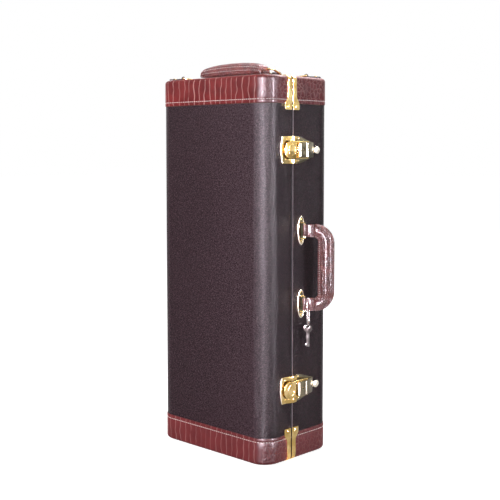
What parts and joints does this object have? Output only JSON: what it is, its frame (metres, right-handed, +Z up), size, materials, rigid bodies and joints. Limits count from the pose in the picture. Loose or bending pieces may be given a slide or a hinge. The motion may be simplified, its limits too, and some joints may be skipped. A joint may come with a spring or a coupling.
{
  "type": "saxophone case",
  "caption": "Hard saxophone backpack case with a hinged lid, draw latches with key locks, a side handle, a top handle and strap rings.",
  "frame": {"origin": "centre of the bottom face that the case stands on", "axes": "+Z up along the length of the case, +X towards the side with the latches and the handle, -Y towards the broad face of the lid"},
  "size_m": [0.3066, 0.1683, 0.6464],
  "materials": {
    "vinyl": "fine leather grain, satin",
    "leather": "crocodile embossed, semi gloss",
    "brass": "polished",
    "steel": "polished",
    "plywood": "raw",
    "velvet": "plush",
    "beading": "satin"
  },
  "bodies": {
    "case_base": {"base_shell": "plywood", "base_cover": "vinyl", "base_top_cap": "leather", "base_bottom_cap": "leather", "base_rim": "beading", "base_liner": "velvet", "base_corner_top_latch": "brass", "base_corner_top_hinge": "brass", "base_corner_bottom_latch": "brass", "base_corner_bottom_hinge": "brass", "latch_plate_upper": "brass", "latch_plate_lower": "brass", "handle_plate_upper": "brass", "handle_plate_lower": "brass", "top_handle_tab_left": "leather", "top_handle_tab_right": "leather", "hinge_leaf_base_upper": "brass", "hinge_leaf_base_lower": "brass", "hinge_pin_upper": "brass", "hinge_pin_lower": "brass", "ring_tab_base": "leather", "ring_tab_low_left": "leather", "ring_tab_low_right": "leather"},
    "lid": {"lid_shell": "plywood", "lid_cover": "vinyl", "lid_top_cap": "leather", "lid_bottom_cap": "leather", "lid_rim": "velvet", "lid_liner": "velvet", "lid_corner_top_latch": "brass", "lid_corner_top_hinge": "brass", "lid_corner_bottom_latch": "brass", "lid_corner_bottom_hinge": "brass", "latch_keeper_upper": "brass", "latch_keeper_lower": "brass", "hinge_leaf_lid_upper": "brass", "hinge_leaf_lid_lower": "brass", "ring_tab_lid": "leather"},
    "latch_lever_upper": {"latch_lever_upper": "brass"},
    "latch_lever_lower": {"latch_lever_lower": "brass"},
    "latch_hook_upper": {"latch_hook_upper": "brass"},
    "latch_hook_lower": {"latch_hook_lower": "brass"},
    "lock_barrel_upper": {"lock_barrel_upper": "brass"},
    "lock_barrel_lower": {"lock_barrel_lower": "brass"},
    "side_handle": {"side_handle_grip": "leather", "side_handle_band_upper": "brass", "side_handle_band_lower": "brass"},
    "key_loop": {"key_loop": "steel"},
    "keys": {"key_front": "steel", "key_rear": "steel"},
    "top_handle": {"top_handle_grip": "leather", "top_handle_ring_left": "brass", "top_handle_ring_right": "brass"},
    "d_ring_lid": {"d_ring_lid": "brass"},
    "d_ring_base": {"d_ring_base": "brass"},
    "d_ring_low_left": {"d_ring_low_left": "brass"},
    "d_ring_low_right": {"d_ring_low_right": "brass"}
  },
  "joints": [
    {"name": "lid_hinge", "type": "hinge", "parent": "case_base", "child": "lid", "pos_m": [-0.1298, -0.02, 0.31], "axis": [0, 0, -1], "range_deg": [0, 180]},
    {"name": "latch_lever_upper", "type": "hinge", "parent": "case_base", "child": "latch_lever_upper", "pos_m": [0.133, -0.012, 0.5025], "axis": [0, 0, -1], "range_deg": [0, 100]},
    {"name": "latch_hook_upper", "type": "hinge", "parent": "latch_lever_upper", "child": "latch_hook_upper", "pos_m": [0.132, 0.01, 0.5025], "axis": [0, 0, -1], "range_deg": [-100, 0]},
    {"name": "lock_turn_upper", "type": "hinge", "parent": "latch_lever_upper", "child": "lock_barrel_upper", "pos_m": [0.134, -0.00276, 0.5025], "axis": [1, 0, 0], "range_deg": [0, 90]},
    {"name": "latch_lever_lower", "type": "hinge", "parent": "case_base", "child": "latch_lever_lower", "pos_m": [0.133, -0.012, 0.1175], "axis": [0, 0, -1], "range_deg": [0, 100]},
    {"name": "latch_hook_lower", "type": "hinge", "parent": "latch_lever_lower", "child": "latch_hook_lower", "pos_m": [0.132, 0.01, 0.1175], "axis": [0, 0, -1], "range_deg": [-100, 0]},
    {"name": "lock_turn_lower", "type": "hinge", "parent": "latch_lever_lower", "child": "lock_barrel_lower", "pos_m": [0.134, -0.00276, 0.1175], "axis": [1, 0, 0], "range_deg": [0, 90]},
    {"name": "side_handle_swing", "type": "hinge", "parent": "case_base", "child": "side_handle", "pos_m": [0.136, 0.002, 0.3135], "axis": [0, 0, 1], "range_deg": [-100, 20]},
    {"name": "key_loop_swing", "type": "hinge", "parent": "side_handle", "child": "key_loop", "pos_m": [0.14014, 0.00547, 0.26465], "axis": [0.6428, -0.766, 0], "range_deg": [0, 12]},
    {"name": "key_swing", "type": "hinge", "parent": "key_loop", "child": "keys", "pos_m": [0.14014, 0.00547, 0.21865], "axis": [0.6428, -0.766, 0], "range_deg": [0, 50]},
    {"name": "top_handle_swing", "type": "hinge", "parent": "case_base", "child": "top_handle", "pos_m": [0, 0.002, 0.6254], "axis": [-1, 0, 0], "range_deg": [0, 140]},
    {"name": "d_ring_base_swing", "type": "hinge", "parent": "case_base", "child": "d_ring_base", "pos_m": [0.09553, 0.04953, 0.62385], "axis": [-0.7071, 0.7071, 0], "range_deg": [0, 150]},
    {"name": "d_ring_lid_swing", "type": "hinge", "parent": "lid", "child": "d_ring_lid", "pos_m": [-0.09553, -0.04953, 0.62385], "axis": [0.7071, -0.7071, 0], "range_deg": [0, 150]},
    {"name": "d_ring_low_left_swing", "type": "hinge", "parent": "case_base", "child": "d_ring_low_left", "pos_m": [-0.084, 0.08385, 0.066], "axis": [1, 0, 0], "range_deg": [0, 150]},
    {"name": "d_ring_low_right_swing", "type": "hinge", "parent": "case_base", "child": "d_ring_low_right", "pos_m": [0.084, 0.08385, 0.066], "axis": [1, 0, 0], "range_deg": [0, 150]}
  ],
  "couplings": [
    {"joint": "latch_hook_upper", "follows": "latch_lever_upper", "ratio": -1},
    {"joint": "latch_hook_lower", "follows": "latch_lever_lower", "ratio": -1}
  ]
}
